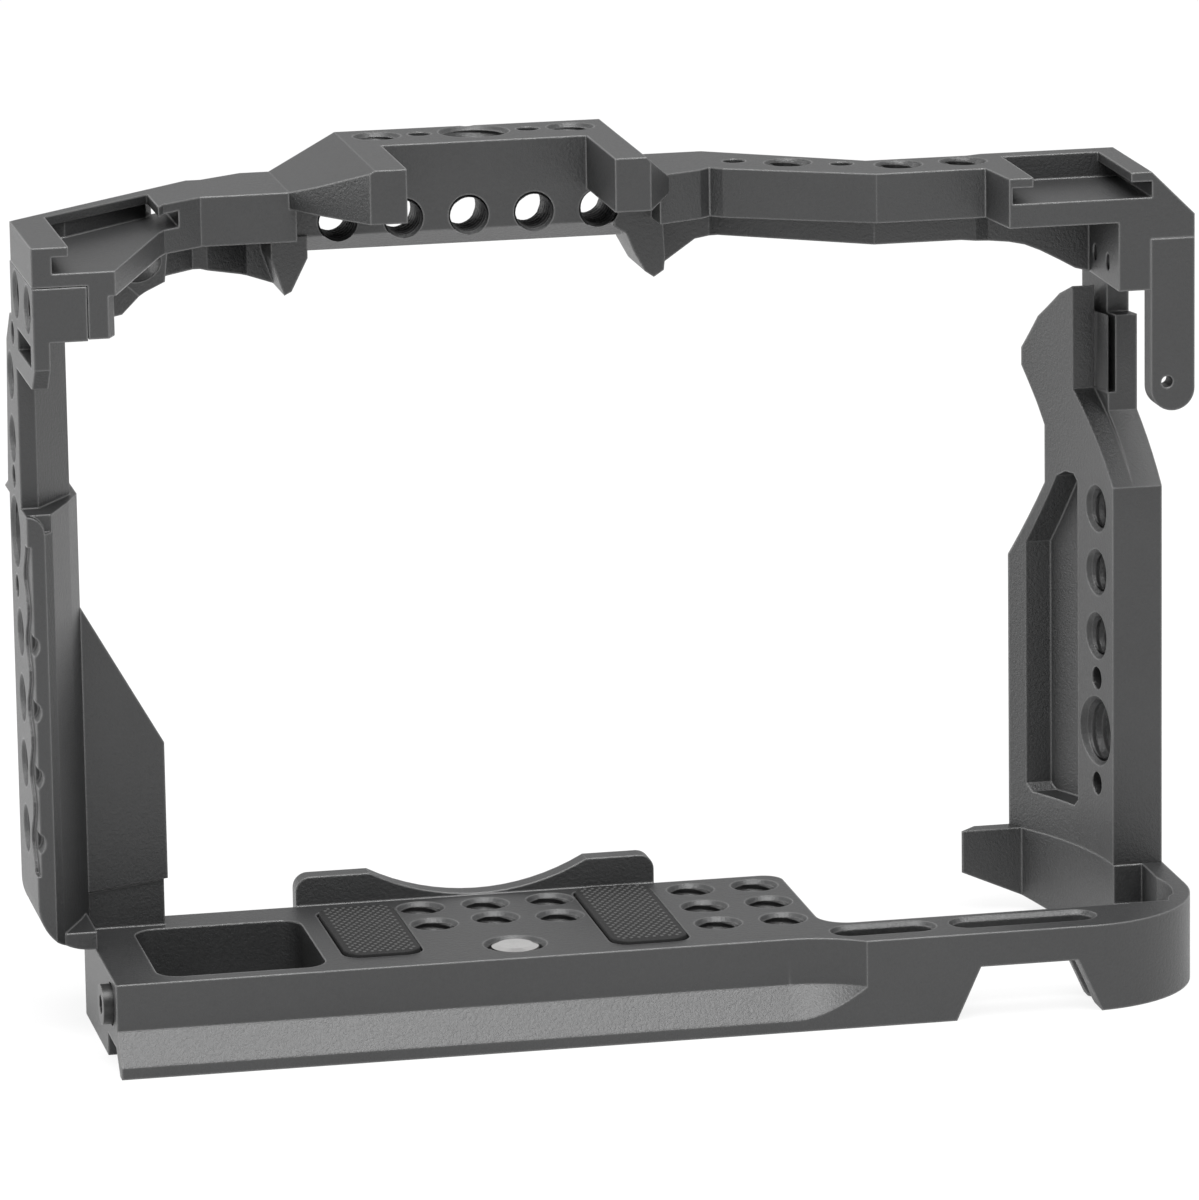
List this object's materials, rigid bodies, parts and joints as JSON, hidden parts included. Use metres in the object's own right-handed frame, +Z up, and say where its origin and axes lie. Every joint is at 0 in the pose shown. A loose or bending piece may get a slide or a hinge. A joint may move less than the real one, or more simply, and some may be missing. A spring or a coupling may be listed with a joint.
{
  "type": "camera cage",
  "caption": "Machined metal cage that closes round a mirrorless camera, with a captive base screw, dovetail base, accessory shoes and threaded accessory holes.",
  "frame": {"origin": "on the axis of the captive camera screw, in the flat underside of the base plate", "axes": "+Z up along the camera screw; +X to the operator's right, towards the grip; +Y away from the operator, towards the lens"},
  "size_m": [0.1602, 0.0558, 0.116],
  "materials": {
    "black_anodised": "bead-blasted, black anodised",
    "pad_rubber": "woven texture, matt",
    "bright_steel": "turned, bright",
    "black_steel": "black oxide, fine turned",
    "white_nylon": "plain"
  },
  "bodies": {
    "cage": {"base_plate": "black_anodised", "pad_left": "pad_rubber", "pad_right": "pad_rubber", "screw_ring": "bright_steel", "stop_screw": "black_steel", "left_plate": "black_anodised", "right_plate": "black_anodised", "top_plate": "black_anodised", "lug_plate": "black_anodised", "screw_left_low_near": "black_steel", "screw_left_low_far": "black_steel", "screw_left_high_near": "black_steel", "screw_left_high_far": "black_steel", "screw_right_low_near": "black_steel", "screw_right_low_far": "black_steel", "screw_right_high_near": "black_steel", "screw_right_high_far": "black_steel", "screw_lug": "black_steel", "dowel_left_high": "black_steel", "dowel_right_low": "black_steel"},
    "washer": {"screw_washer": "white_nylon"},
    "screw": {"camera_screw": "bright_steel"}
  },
  "joints": [
    {"name": "screw_lift", "type": "slide", "parent": "cage", "child": "washer", "axis": [0, 0, 1], "range_m": [0, 0.0042]},
    {"name": "screw_turn", "type": "hinge", "parent": "washer", "child": "screw", "pos_m": [0, 0, 0.003], "axis": [0, 0, 1], "continuous": true}
  ]
}
